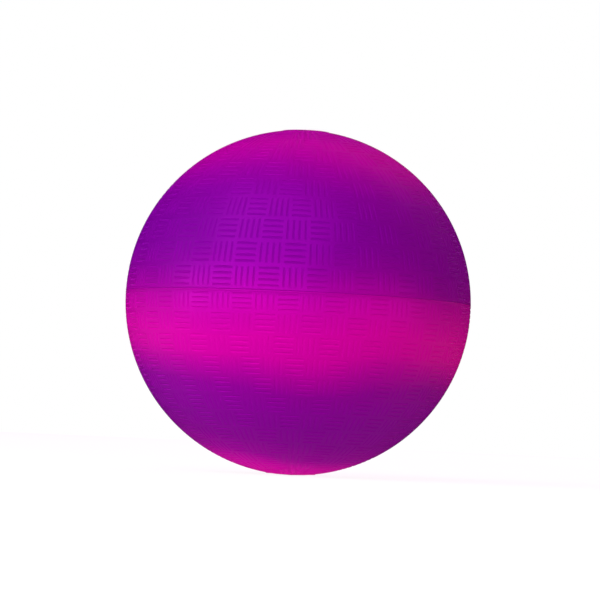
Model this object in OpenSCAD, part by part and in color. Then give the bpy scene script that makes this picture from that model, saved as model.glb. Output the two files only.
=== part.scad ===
/* [Ball] */
// Outside diameter of the inflated ball
ball_d = 216; // [170:1:260]
// Thickness of the rubber cover
cover_t = 1.4; // [1:0.1:2.4]
// Thickness of the air bladder under the cover
bladder_t = 0.9; // [0.6:0.1:1.8]

/* [Parting line] */
// Height of the parting line above the ball's centre
seam_rise = 2.5; // [0:0.1:8]
// Width of the moulded bead along the parting line
bead_w = 1.2; // [0.8:0.1:3]
// How far the bead stands out of the ball
bead_h = 0.25; // [0.1:0.05:0.6]

/* [Grip] */
// Grooves in each block
groove_count = 4; // [2:1:4]
// Width of a groove at the ball's surface
groove_w = 1.6; // [1:0.1:2.2]
// Depth of a groove halfway along it
groove_depth = 0.5; // [0.2:0.05:0.8]
// Distance from a groove's end to the border of its block
groove_margin = 0.8; // [0.5:0.1:1.2]
// Width of the fine line between two rows of blocks
line_w = 0.4; // [0.2:0.1:0.8]
// Depth of that line
line_depth = 0.05; // [0.05:0.05:0.3]

/* [Polar landings] */
// Diameter of the smooth landing at each pole
landing_d = 30; // [24:1:48]
// Width of the ring that borders a landing
ring_w = 1.6; // [1:0.1:3]
// How far that ring stands out
ring_h = 0.3; // [0.1:0.05:0.6]

/* [Valve] */
// Diameter of the pump needle that the valve takes
needle_d = 2; // [1.6:0.1:2.4]
// Length of the needle channel, down to where the rubber closes itself
channel_len = 10; // [6:0.5:12]
// Width across the funnel that leads the needle in
funnel_d = 3.4; // [2.8:0.1:4]
// Depth of that funnel
funnel_depth = 0.6; // [0.3:0.1:1]
// Diameter of the plug's stem
stem_d = 6; // [5:0.1:8]
// Length of the stem below the underside of the bladder
stem_len = 15; // [14:0.5:24]
// Diameter of the plug's head, which fills the hole in the cover
head_d = 9; // [8.6:0.1:13]
// Diameter of the foot that keeps the plug in its housing
foot_d = 8; // [7.6:0.1:11]
// Height of that foot
foot_h = 2; // [1:0.5:4]
// Wall of the housing's tube
tube_t = 1.8; // [1.2:0.1:3]
// Diameter of the flange bonded to the bladder
flange_d = 34; // [26:1:40]
// Thickness of the flange on the axis, from where it thins to its edge
flange_t = 2.2; // [2:0.1:3]
// Gap between the plug and the rubber round it
plug_gap = 0.1; // [0.05:0.05:0.3]

/* [Hidden] */
$fn = 240;
overrun = 1;
// How far a groove's cutter reaches past the ball: so little that neighbours stay apart
groove_overrun = 0.1;

// Rows of the grip, from the parting line to a pole. Each has an even number of blocks, since
// upright and flat ones alternate, and is turned from the front (-Y) by some degrees
upper_rows = [
  [46, -0.9], [44, -8.8], [44, -0.5], [44, -7.3], [36, 6.2],
  [32, -1.2], [30, -11.5], [24, -9], [16, 0], [10, 18]
];
lower_rows = [
  [48, -9.5], [48, -1.9], [48, 4.3], [48, 8.1], [46, -3], [40, 3],
  [36, -10.5], [30, 0], [26, 7], [20, 0], [14, 12], [10, 0]
];

ball_r = ball_d / 2;
bladder_r = ball_r - cover_t;
air_r = bladder_r - bladder_t;
stem_r = stem_d / 2;
head_r = head_d / 2;
hole_r = stem_r + plug_gap;
tube_r = hole_r + tube_t;
foot_top = air_r - stem_len + foot_h;
seam_lat = asin(seam_rise / ball_r);
landing_lat = acos(landing_d / ball_d);

// Radius of the arc that is w wide and h high
function arc_r(w, h) = (w * w / 4 + h * h) / (2 * h);

// A half plane's worth of profile, from one height up or down
module from(y, down = false)
  translate([0, down ? y - 2 * ball_d : y]) square(2 * ball_d);

// The ring between two circles, right of the axis
module layer(outer_r, inner_r)
  difference() {
    intersection() { circle(outer_r); from(-ball_d); }
    circle(inner_r);
  }

// Low rounded bead on the ball's surface, at a latitude
module bead(lat, w, h)
  rotate(lat) translate([ball_r + h - arc_r(w, h), 0]) circle(arc_r(w, h), $fn = 48);

// Angle at the ball's centre over a length on its surface, and the other way round
function angle_of(length) = length / ball_r * 180 / PI;
function length_of(angle) = angle * ball_r * PI / 180;

// Latitude of the border before row k of the grip, counted from the parting line
function border(down, k) =
  down ? seam_lat - (landing_lat + seam_lat) * k / len(lower_rows)
       : seam_lat + (landing_lat - seam_lat) * k / len(upper_rows);

// Vee that cuts into a surface at X = 0, w wide there
module vee(w, depth) {
  wide = w * (1 + groove_overrun / depth) / 2;
  polygon([[-depth, 0], [groove_overrun, -wide], [groove_overrun, wide]]);
}

// One half of the cover from the parting line to its pole
module cover_half(down) {
  intersection() {
    difference() {
      union() {
        layer(ball_r, bladder_r);
        bead(seam_lat, bead_w, bead_h);
        bead(down ? -landing_lat : landing_lat, ring_w, ring_h);
      }
      circle(bladder_r);
      for (k = [1 : len(down ? lower_rows : upper_rows) - 1])
        rotate(border(down, k)) translate([ball_r, 0]) vee(line_w, line_depth);
    }
    from(seam_rise, down);
  }
}

// Cutter for one straight groove at the ball's +X side, upright or flat
module groove(length, upright)
  translate([ball_r, 0, 0]) rotate([upright ? 0 : 90, 0, 0])
    linear_extrude(length - 2 * groove_margin, center = true) vee(groove_w, groove_depth);

// Cutters for the basket weave of a half: rows of blocks, with their grooves upright in every other one
module weave(down) {
  rows = down ? lower_rows : upper_rows;
  last = len(rows) - 1;
  way = down ? -1 : 1;
  for (k = [0 : last]) {
    near = border(down, k) + way * angle_of(k == 0 ? bead_w : line_w) / 2;
    far = border(down, k + 1) - way * angle_of(k == last ? ring_w : line_w) / 2;
    step = 360 / rows[k][0];
    for (b = [0 : rows[k][0] - 1], i = [0 : groove_count - 1]) {
      upright = b % 2 == 0;
      share = (i + 1 / 2) / groove_count;
      lat = near + (upright ? 1 / 2 : share) * (far - near);
      lon = rows[k][1] - 90 + (b + (upright ? share - 1 / 2 : 0)) * step;
      length = length_of(upright ? abs(far - near) : step * cos(lat));
      rotate([0, -lat, lon]) groove(length, upright);
    }
  }
}

// Upper cover, open at its pole for the valve
module cover_upper()
  color("darkorchid") difference() {
    rotate_extrude() difference() {
      cover_half(false);
      square([head_r + plug_gap, ball_d]);
    }
    weave(false);
  }

// Lower cover, closed at its pole
module cover_lower()
  color("mediumvioletred") difference() {
    rotate_extrude() cover_half(true);
    weave(true);
  }

// Air bladder, open only where the valve passes
module bladder()
  color("dimgray") rotate_extrude()
    difference() {
      layer(bladder_r, air_r);
      square([hole_r, ball_d]);
    }

// Rubber boot bonded inside the bladder: a flange and the tube that grips the plug
module valve_housing()
  color("slategray") rotate_extrude()
    difference() {
      intersection() {
        circle(air_r);
        union() {
          translate([0, air_r - flange_t]) square([flange_d / 2, ball_d]);
          translate([0, foot_top]) square([tube_r, ball_d]);
        }
      }
      square([hole_r, ball_d]);
    }

// Self-sealing plug with the channel that the pump needle goes down
module valve_plug()
  color("white") rotate_extrude()
    difference() {
      union() {
        difference() {
          intersection() { circle(ball_r); square([head_r, ball_d]); }
          circle(bladder_r);
        }
        intersection() {
          circle(ball_r);
          translate([0, air_r - stem_len]) square([stem_r, ball_d]);
        }
        translate([0, air_r - stem_len]) square([foot_d / 2, foot_h - plug_gap]);
      }
      translate([0, ball_r - channel_len]) square([needle_d / 2, ball_d]);
      polygon([
        [0, ball_r - funnel_depth],
        [needle_d / 2, ball_r - funnel_depth],
        [funnel_d / 2, ball_r],
        [0, ball_r + overrun]
      ]);
    }

cover_upper();
cover_lower();
bladder();
valve_housing();
valve_plug();
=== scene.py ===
from math import acos, asin, cos, pi, radians, sin, sqrt, tan
import bpy
import bmesh
from mathutils import Matrix, Vector


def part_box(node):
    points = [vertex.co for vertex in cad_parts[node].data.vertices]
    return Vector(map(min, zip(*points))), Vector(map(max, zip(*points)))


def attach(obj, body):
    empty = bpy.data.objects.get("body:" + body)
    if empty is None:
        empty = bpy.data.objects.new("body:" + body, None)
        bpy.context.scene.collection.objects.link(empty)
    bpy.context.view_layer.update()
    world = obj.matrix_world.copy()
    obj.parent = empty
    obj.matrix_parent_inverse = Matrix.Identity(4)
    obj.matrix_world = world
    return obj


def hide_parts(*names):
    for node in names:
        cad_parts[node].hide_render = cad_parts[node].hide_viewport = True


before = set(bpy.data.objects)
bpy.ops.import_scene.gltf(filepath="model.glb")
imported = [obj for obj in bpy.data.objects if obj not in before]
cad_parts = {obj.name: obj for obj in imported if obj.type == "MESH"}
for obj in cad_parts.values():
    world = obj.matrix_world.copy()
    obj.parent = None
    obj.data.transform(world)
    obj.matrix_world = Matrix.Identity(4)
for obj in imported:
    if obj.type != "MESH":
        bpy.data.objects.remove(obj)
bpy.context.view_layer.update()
print("frame loaded:", ", ".join(sorted(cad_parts)))

mm = 0.001
ballRadius = -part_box("cover_lower")[0].z          # the lower pole lies one radius under the origin
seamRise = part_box("cover_upper")[0].z             # the upper cover starts at the parting line
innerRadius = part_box("bladder")[1].z              # the cover lies on the bladder
valveHoleRadius = 4.6 * mm                        # in the upper cover, round the plug's head
seamLat = asin(seamRise / ballRadius)
tolerance = 1e-6                                  # points closer than this are one
sortAxis = (1.0, 0.62, 0.19)                      # so askew that no two points lie level along it


# shader helpers: a Wire is a node's output that takes part in Python sums

class Wire:
    def __init__(self, shader, socket):
        self.shader, self.socket = shader, socket

    def out(self, name):                          # another output of the same node
        return Wire(self.shader, self.socket.node.outputs[name])

    def __add__(self, other):
        return self.shader.math("ADD", self, other)

    def __sub__(self, other):
        return self.shader.math("SUBTRACT", self, other)

    def __rsub__(self, other):
        return self.shader.math("SUBTRACT", other, self)

    def __mul__(self, other):
        return self.shader.math("MULTIPLY", self, other)

    def __truediv__(self, other):
        return self.shader.math("DIVIDE", self, other)


class Shader:
    def __init__(self, tree):
        self.tree = tree
        tree.nodes.clear()

    def noise(self, place, scale, detail):
        return self.node("TexNoise", sockets={"Vector": place, "Scale": scale, "Detail": detail})

    def bump(self, height, strength, distance):
        return self.node("Bump", sockets={
            "Height": height, "Strength": strength, "Distance": distance})

    def node(self, kind, settings=None, sockets=None, output=0):
        made = self.tree.nodes.new("ShaderNode" + kind)
        for key, value in (settings or {}).items():
            if key == "stops":
                self.setStops(made.color_ramp, value)
            else:
                setattr(made, key, value)
        for key, value in (sockets or {}).items():
            if isinstance(value, Wire):
                self.tree.links.new(value.socket, made.inputs[key])
            else:
                made.inputs[key].default_value = value
        return Wire(self, made.outputs[output])

    def setStops(self, ramp, stops):
        while len(ramp.elements) < len(stops):
            ramp.elements.new(1.0)
        for element, (place, color) in zip(ramp.elements, stops):
            element.position = place
            element.color = color

    def math(self, operation, *values):
        return self.node("Math", {"operation": operation}, dict(enumerate(values)))

    def blend(self, factor, first, second):       # a mix of two colours
        return self.node("Mix", {"data_type": "RGBA"}, {0: factor, 6: first, 7: second}, output=2)

    def finish(self, surface, kind="OutputMaterial"):
        self.tree.links.new(surface.socket, self.tree.nodes.new("ShaderNode" + kind).inputs[0])


def newMaterial(name):
    material = bpy.data.materials.new(name)
    material.use_nodes = True
    return material, Shader(material.node_tree)


# camera: the photograph's view, a little below the parting line and a little rolled

view = {
    "distance": 2.0,
    "reach": 50.0,                                # how far the camera sees
    "elevation": radians(-2.2),
    "azimuth": radians(1.0),
    "roll": radians(2.6),
    "pixels": 600,
    "centre": (298.14, 302.61),                   # the ball's centre in the photograph, in pixels
    "radius": 172.69,                             # and its radius
    "sensor": 36.0,                               # in mm
}


def makeCamera():
    data = bpy.data.cameras.new("camera")
    camera = bpy.data.objects.new("camera", data)
    bpy.context.collection.objects.link(camera)
    look = Vector((0, cos(view["elevation"]), -sin(view["elevation"])))
    look.rotate(Matrix.Rotation(view["azimuth"], 3, "Z"))
    side = look.cross(Vector((0, 0, 1))).normalized()
    up = side.cross(look)
    turn = Matrix.Rotation(-view["roll"], 3, look)
    side, up = turn @ side, turn @ up
    place = Matrix((side, up, -look)).transposed().to_4x4()
    place.translation = -look * view["distance"]
    camera.matrix_world = place
    halfAngle = asin(ballRadius / view["distance"])
    data.sensor_width = view["sensor"]
    data.lens = view["radius"] / tan(halfAngle) / view["pixels"] * view["sensor"]
    data.shift_x = (view["pixels"] / 2 - view["centre"][0]) / view["pixels"]
    data.shift_y = (view["centre"][1] - view["pixels"] / 2) / view["pixels"]
    data.clip_end = view["reach"]
    bpy.context.scene.camera = camera
    print("camera at", [round(v, 3) for v in camera.location])


# light: a white studio with soft boxes round the ball, and three more that only its gloss mirrors

studio = {
    "white": (1.0, 1.0, 1.0, 1.0),
    "floorSize": 6.0,
    "floorGlow": 0.9,
    "floorColor": (0.1, 0.1, 0.1, 1.0),
    "floorRoughness": 0.9,
    # degrees to the right of the front, degrees up, distance, width, height, power and colour
    "boxes": {
        "key_box": (-28, 29, 2.8, 3.6, 2.6, 160.0, (1.0, 1.0, 1.0)),
        "left_box": (-82, 20, 2.8, 2.4, 2.4, 31.0, (1.0, 1.0, 1.0)),
        "back_box": (156, 32, 2.8, 3.0, 2.6, 110.0, (1.0, 0.4, 1.0)),
        "fill_box": (80, 23, 2.8, 2.4, 2.4, 59.0, (1.0, 0.2, 0.34)),
        "sheen_box": (-36, 6, 1.0, 1.93, 0.46, 84.0, (1.0, 0.12, 1.0)),
        "side_sheen": (46, 0, 1.0, 1.4, 0.36, 18.0, (1.0, 0.12, 1.0)),
        "glow_box": (-23, 45, 2.8, 3.8, 2.85, 585.0, (1.0, 0.12, 1.0)),
    },
    # these show in the gloss of the rubber and light nothing else
    "mirrored": ["sheen_box", "side_sheen", "glow_box"],
}


def makeStudio():
    scene = bpy.context.scene
    scene.view_settings.view_transform = "Standard"
    world = bpy.data.worlds.new("studio")
    world.use_nodes = True
    scene.world = world
    shader = Shader(world.node_tree)
    walls = shader.node("Background", sockets={"Color": studio["white"], "Strength": 1.0})
    shader.finish(walls, "OutputWorld")
    world.cycles_visibility.diffuse = False       # the walls are only seen, and light nothing
    world.cycles_visibility.glossy = False

    material, shader = newMaterial("studio_floor")
    shader.finish(shader.node("BsdfPrincipled", sockets={
        "Base Color": studio["floorColor"], "Roughness": studio["floorRoughness"],
        "Specular IOR Level": 0.0, "Emission Color": studio["white"],
        "Emission Strength": studio["floorGlow"]}))
    bm = bmesh.new()
    bmesh.ops.create_grid(bm, x_segments=1, y_segments=1, size=studio["floorSize"] / 2,
                          matrix=Matrix.Translation((0, 0, -ballRadius)))
    floor = makeObject("studio_floor", bm, material)
    floor.visible_glossy = False

    for name, (side, height, distance, width, tall, power, color) in studio["boxes"].items():
        lamp = bpy.data.lights.new(name, "AREA")
        lamp.shape = "RECTANGLE"
        lamp.size, lamp.size_y, lamp.energy, lamp.color = width, tall, power, color
        holder = bpy.data.objects.new(name, lamp)
        side, height = radians(side), radians(height)
        place = Vector((sin(side) * cos(height), -cos(side) * cos(height), sin(height)))
        holder.location = place * distance
        holder.rotation_euler = (-place).to_track_quat("-Z", "Y").to_euler()
        holder.visible_camera = False
        holder.visible_glossy = name in studio["mirrored"]
        holder.visible_diffuse = not holder.visible_glossy
        bpy.context.collection.objects.link(holder)


def makeObject(name, bm, material):
    mesh = bpy.data.meshes.new(name)
    bm.to_mesh(mesh)
    bm.free()
    mesh.materials.append(material)
    for face in mesh.polygons:
        face.use_smooth = True
    made = bpy.data.objects.new(name, mesh)
    bpy.context.collection.objects.link(made)
    return made


# cover: rows of blocks, each with four short grooves, turned by a quarter from block to block

grip = {
    # blocks in each row from the parting line to the pole, and how far to the right of the front
    # the nearest block with upright grooves stands, in degrees
    "cover_upper": [(46, -0.9), (44, -8.8), (44, -0.5), (44, -7.3), (36, 6.2), (32, -1.2),
                    (30, -11.5), (24, -9), (16, 0), (10, 18)],
    "cover_lower": [(48, -9.5), (48, -1.9), (48, 4.3), (48, 8.1), (46, -3), (40, 3),
                    (36, -10.5), (30, 0), (26, 7), (20, 0), (14, 12), (10, 0)],
    "grooves": 4,
    "rowGap": 0.15 * mm,                          # half the plain strip between two rows
    "depth": {"upright": 0.13 * mm, "flat": 0.2 * mm},
    # from the border of a groove's strip inwards: how far in, as a share of its half width, and
    # how deep, as a share of the depth
    "section": [(0.57, 0.0), (0.05, 0.15), (0.11, 0.85), (0.05, 1.0)],
    "mattFrom": 0.5,                              # share of the depth from which the rubber is matt
    "landing": 15.0 * mm,                         # radius of the smooth landing at the poles
}
bead = {
    # distance from the parting line and height, in mm: a low bead with a crease in its middle
    "profile": [(0.9, 0.0), (0.75, 0.08), (0.55, 0.12), (0.35, 0.06), (0.15, -0.06), (0.0, -0.16)],
}
ring = {
    # distance poleward from the landing's border and height, in mm
    "profile": [(-0.8, 0.0), (-0.6, 0.12), (-0.3, 0.26), (0.0, 0.3), (0.3, 0.26), (0.6, 0.12),
                (0.8, 0.0)],
    "landing": [0.8, 0.6, 0.45],                  # shares of the landing's radius
    # the valve's hole: how far its edge is rounded outwards and downwards, in mm
    "holeEdge": [(0.5, 0.0), (0.15, 0.04), (0.0, 0.2)],
}
lining = {
    "rings": 12,                                  # between the parting line and the pole
    "lastLat": radians(89),                       # where a closed half is drawn together
}


def onBall(lat, lon):
    return Vector((cos(lat) * cos(lon), cos(lat) * sin(lon), sin(lat))) * ballRadius


def gripRows(name, up):                           # where each row starts and ends
    landingLat = acos(grip["landing"] / ballRadius)
    span = landingLat - seamLat if up else landingLat + seamLat
    height = span / len(grip[name])
    beadHalf = bead["profile"][0][0] * mm / ballRadius
    ringHalf = -ring["profile"][0][0] * mm / ballRadius
    gap = grip["rowGap"] / ballRadius
    made = []
    for k, (blocks, turn) in enumerate(grip[name]):
        near = k * height + (beadHalf if k == 0 else gap)
        far = (k + 1) * height - (ringHalf if k == len(grip[name]) - 1 else gap)
        made.append({
            "near": seamLat + near if up else seamLat - near,
            "far": seamLat + far if up else seamLat - far,
            "blocks": blocks,
            "turn": radians(turn),
        })
    return made


def cutGroove(bm, strip, half, depth):            # half: half the width of the strip of faces
    matt = bm.verts.layers.float["matt"]
    for inset, share in grip["section"]:
        bmesh.ops.inset_region(bm, faces=strip, thickness=inset * half,
                               use_even_offset=True, use_boundary=True)
        for vert in {v for face in strip for v in face.verts}:
            vert.co = vert.co.normalized() * (ballRadius - share * depth)
            vert[matt] = float(share > grip["mattFrom"])
        if share == 0:                            # a crisp rim keeps the lands round
            for edge in {e for face in strip for e in face.edges}:
                edge.smooth = sum(f in strip for f in edge.link_faces) > 1


def makeRow(row):                                 # two blocks, spun round the ball
    bm = bmesh.new()
    n = grip["grooves"]
    bmesh.ops.create_grid(bm, x_segments=2 * n, y_segments=n, size=0.5)
    bm.verts.layers.float.new("matt")             # 1 on the floors of the grooves
    strips = {}
    for face in bm.faces:
        middle = face.calc_center_median()
        column, line = int((middle.x + 0.5) * 2 * n), int((middle.y + 0.5) * n)
        key = ("upright", column) if column < n else ("flat", line)
        strips.setdefault(key, []).append(face)
    step = 2 * pi / row["blocks"]
    for vert in bm.verts:
        lon = -pi / 2 + row["turn"] - step / 2 + (vert.co.x + 0.5) * 2 * step
        vert.co = onBall(row["near"] + (vert.co.y + 0.5) * (row["far"] - row["near"]), lon)
    bm.normal_update()
    halves = {"upright": step * ballRadius * cos(row["far"]) / n / 2,
              "flat": abs(row["far"] - row["near"]) * ballRadius / n / 2}
    for (kind, place), strip in strips.items():
        cutGroove(bm, strip, halves[kind], grip["depth"][kind])
    pairs = row["blocks"] // 2
    bmesh.ops.spin(bm, geom=bm.verts[:] + bm.edges[:] + bm.faces[:], cent=(0, 0, 0), axis=(0, 0, 1),
                   dvec=(0, 0, 0), angle=2 * pi * (pairs - 1) / pairs, steps=pairs - 1,
                   use_duplicate=True)
    bmesh.ops.remove_doubles(bm, verts=bm.verts, dist=tolerance)
    return bm


def borderAt(bm, z):                              # the open edges at a height
    near = {v for v in bm.verts if abs(v.co.z - z) < 2 * tolerance}
    return [e for e in bm.edges if e.is_boundary and all(v in near for v in e.verts)]


def pullRing(bm, edges, radius, z):               # a new ring from an open border
    made = bmesh.ops.extrude_edge_only(bm, edges=edges)["geom"]
    for vert in (g for g in made if isinstance(g, bmesh.types.BMVert)):
        out = Vector((vert.co.x, vert.co.y, 0)).normalized() * radius
        vert.co = (out.x, out.y, z)
    return [g for g in made if isinstance(g, bmesh.types.BMEdge) and g.is_boundary]


def joinRows(bm, rows):                           # the rows, and the plain strips between them
    for row in rows:
        part = makeRow(row)
        mesh = bpy.data.meshes.new("row")
        part.to_mesh(mesh)
        part.free()
        bm.from_mesh(mesh)
        bpy.data.meshes.remove(mesh)
    for lower, upper in zip(rows, rows[1:]):
        first = borderAt(bm, ballRadius * sin(lower["far"]))
        second = borderAt(bm, ballRadius * sin(upper["near"]))
        bmesh.ops.bridge_loops(bm, edges=first + second)


def lineCover(bm, loop, way):                     # the bead, the wall and the inner side
    for distance, height in bead["profile"][1:]:
        lat = seamLat + way * distance * mm / ballRadius
        out = ballRadius + height * mm
        loop = pullRing(bm, loop, out * cos(lat), out * sin(lat))
    for edge in loop:                             # a sharp corner where the halves meet
        edge.smooth = False
    start = asin(seamRise / innerRadius)
    end = acos(valveHoleRadius / innerRadius) if way > 0 else -lining["lastLat"]
    for i in range(lining["rings"] + 1):
        lat = start + (end - start) * i / lining["rings"]
        loop = pullRing(bm, loop, innerRadius * cos(lat), innerRadius * sin(lat))
    return loop


def makeLanding(bm, loop, way):                   # the ring and the smooth landing at the pole
    landingLat = acos(grip["landing"] / ballRadius)
    for distance, height in ring["profile"][1:]:
        lat = landingLat + distance * mm / ballRadius
        out = ballRadius + height * mm
        loop = pullRing(bm, loop, out * cos(lat), way * out * sin(lat))
    for share in ring["landing"]:
        reach = grip["landing"] * share
        loop = pullRing(bm, loop, reach, way * sqrt(ballRadius ** 2 - reach ** 2))
    return loop


def placeAlong(part):                             # of a vertex, an edge or a face
    verts = getattr(part, "verts", [part])
    return sum(a * b for v in verts for a, b in zip(v.co, sortAxis)) / len(verts)


def makeCover(name, up, material):
    bm = bmesh.new()
    bm.verts.layers.float.new("matt")
    rows = gripRows(name, up)
    joinRows(bm, rows)
    way = 1 if up else -1
    inner = lineCover(bm, borderAt(bm, ballRadius * sin(rows[0]["near"])), way)
    outer = makeLanding(bm, borderAt(bm, ballRadius * sin(rows[-1]["far"])), way)
    if up:                                        # open for the valve
        for out, drop in ring["holeEdge"]:
            reach = valveHoleRadius + out * mm
            outer = pullRing(bm, outer, reach, sqrt(ballRadius ** 2 - reach ** 2) - drop * mm)
        bmesh.ops.bridge_loops(bm, edges=outer + inner)
    else:
        for loop, radius in ((outer, ballRadius), (inner, innerRadius)):
            verts = list({v for e in loop for v in e.verts})
            bmesh.ops.pointmerge(bm, verts=verts, merge_co=Vector((0, 0, -radius)))
    bmesh.ops.recalc_face_normals(bm, faces=bm.faces)
    for parts in (bm.verts, bm.edges, bm.faces):  # extruding orders them differently in each run
        parts.sort(key=placeAlong)
    triangles = sum(len(f.verts) - 2 for f in bm.faces)
    openEdges = sum(1 for e in bm.edges if not e.is_manifold)
    print(name, len(rows), "rows,", triangles, "triangles,", openEdges, "open edges")
    cover = makeObject(name, bm, material)
    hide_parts(name)
    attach(cover, "root")


# colour: violet rubber with magenta swirled in, painted lighter or darker by latitude in place of
# light and shade, and a soft gloss on all but the grooves' floors

dyeAndPaintedLight = {
    "violet": (0.112, 0.0002, 0.192),
    "magenta": (0.42, 0.0003, 0.213),
    # bands: latitude in degrees, the share of magenta there and a painted light factor: much lighter
    # towards the lower pole, standing in for light from below, and darker near the parting line and
    # in the violet band where the gloss falls
    # swirls: latitude, degrees to the right of the front, reach and how far the bands slip there
    "upper": {
        "bands": [(1, 0.34, 0.9), (4, 0.25, 0.86), (8, 0.13, 0.86), (15, 0.05, 0.86),
                  (24, 0.03, 0.86), (32, 0.05, 0.87), (38, 0.08, 0.91), (46, 0.23, 0.93),
                  (54, 0.46, 0.94), (62, 0.6, 0.95), (72, 0.48, 0.98)],
        "swirls": [(45, 60, 45, 6), (48, -72, 40, 3), (7, 22, 26, -2), (2, 66, 34, 4)],
    },
    "lower": {
        "bands": [(-80, 1, 1.7), (-70, 0.78, 1.6), (-62, 0.35, 1.25), (-54, 0.2, 1.08),
                  (-46, 0.15, 1.05), (-38, 0.16, 1.05), (-32, 0.22, 1), (-26, 0.5, 1),
                  (-20, 0.85, 1), (-14, 0.87, 1), (-8, 0.7, 0.98), (-4, 0.59, 0.95),
                  (0, 0.45, 0.92)],
        "swirls": [(-40, -80, 62, -7), (-70, 28, 36, 4), (-27, 8, 24, 2), (-3, 30, 30, -3),
                   (-30, 62, 36, -3)],
    },
    "waver": 0.03,                                # of the bands, as a share of half a turn
    "waverNoise": (14.0, 2.0),                    # scale and detail, as for every noise below
}
skin = {
    "roughness": 0.33,
    "patches": 0.1,                               # the spread of the roughness over the ball
    "patchNoise": (60.0, 4.0),
    "grain": 0.015 * mm,                          # height of the finest roughness
    "grainStrength": 0.5,
    "grainNoise": (1400.0, 2.0),
    "mattRoughness": 0.85,                        # on the floors of the grooves, which nothing rubs
    "specular": 0.05,
    "sheen": (1.0, 0.04, 1.0, 1.0),
}


def coverMaterial(name, half):
    material, shader = newMaterial(name)
    place = shader.node("TexCoord", output="Object")
    length = shader.node("VectorMath", {"operation": "LENGTH"}, {0: place}, output="Value")
    height = shader.node("SeparateXYZ", sockets={0: place}).out("Z")
    wave = shader.noise(place, *dyeAndPaintedLight["waverNoise"])
    lat = shader.math("ARCSINE", height / length) / pi + 0.5 + (wave - 0.5) * dyeAndPaintedLight["waver"]
    for north, east, reach, slip in dyeAndPaintedLight[half]["swirls"]:
        middle = onBall(radians(north), radians(east - 90))
        away = shader.node("VectorMath", {"operation": "DISTANCE"}, {0: place, 1: middle},
                           output="Value")
        lat = lat + shader.node("MapRange", {"interpolation_type": "SMOOTHSTEP"}, {
            0: away, 1: 0.0, 2: 2 * ballRadius * sin(radians(reach) / 2), 3: slip / 180, 4: 0.0})
    stops = []
    for angle, share, paintedLight in dyeAndPaintedLight[half]["bands"]:
        # the third number of each band paints light and shade into the colour: lighter towards the
        # lower pole, darker near the parting line
        mixed = [(v + (m - v) * share) * paintedLight for v, m in zip(dyeAndPaintedLight["violet"], dyeAndPaintedLight["magenta"])]
        stops.append(((angle + 90) / 180, (*mixed, 1.0)))
    color = shader.node("ValToRGB", {"stops": stops}, {0: lat})
    matt = shader.node("Attribute", {"attribute_name": "matt"}, output="Fac")
    patch = shader.noise(place, *skin["patchNoise"])
    land = (patch - 0.5) * skin["patches"] + skin["roughness"]
    rough = land + matt * (skin["mattRoughness"] - land)
    grain = shader.noise(place, *skin["grainNoise"])
    bump = shader.bump(grain, skin["grainStrength"], skin["grain"])
    rubber = shader.node("BsdfPrincipled", sockets={
        "Base Color": color, "Roughness": rough, "Specular IOR Level": skin["specular"],
        "Specular Tint": skin["sheen"], "Normal": bump})
    shader.finish(rubber)
    return material


# the pieces under the cover, and the plug that shows in its hole

inside = {
    "grain": 0.05 * mm,
    "grainStrength": 0.25,
    "grainNoise": (900.0, 3.0),
    "patchNoise": (120.0, 3.0),
    "darkest": 0.75,                              # of the colour, where a patch is darkest
    "patches": 0.2,                               # the spread of the roughness
    "pieces": {                                   # colour and roughness
        "bladder": ((0.02, 0.02, 0.022, 1.0), 0.45),
        "valve_housing": ((0.03, 0.03, 0.032, 1.0), 0.6),
        "valve_plug": ((0.6, 0.57, 0.52, 1.0), 0.5),
    },
}


def plainRubber(name, color, roughness):
    material, shader = newMaterial(name)
    place = shader.node("TexCoord", output="Object")
    patch = shader.noise(place, *inside["patchNoise"])
    darker = tuple(c * inside["darkest"] for c in color[:3]) + (1.0,)
    grain = shader.noise(place, *inside["grainNoise"])
    bump = shader.bump(grain, inside["grainStrength"], inside["grain"])
    rubber = shader.node("BsdfPrincipled", sockets={
        "Base Color": shader.blend(patch, darker, color),
        "Roughness": (patch - 0.5) * inside["patches"] + roughness, "Normal": bump})
    shader.finish(rubber)
    return material


def dressNode(name, material):
    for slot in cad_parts[name].material_slots:
        slot.material = material


makeCamera()
makeStudio()
print("studio ready:", len(studio["boxes"]), "boxes")
makeCover("cover_upper", True, coverMaterial("cover_upper", "upper"))
makeCover("cover_lower", False, coverMaterial("cover_lower", "lower"))
for name, (color, roughness) in inside["pieces"].items():
    dressNode(name, plainRubber(name, color, roughness))
print("pieces ready:", ", ".join(inside["pieces"]), "dressed")
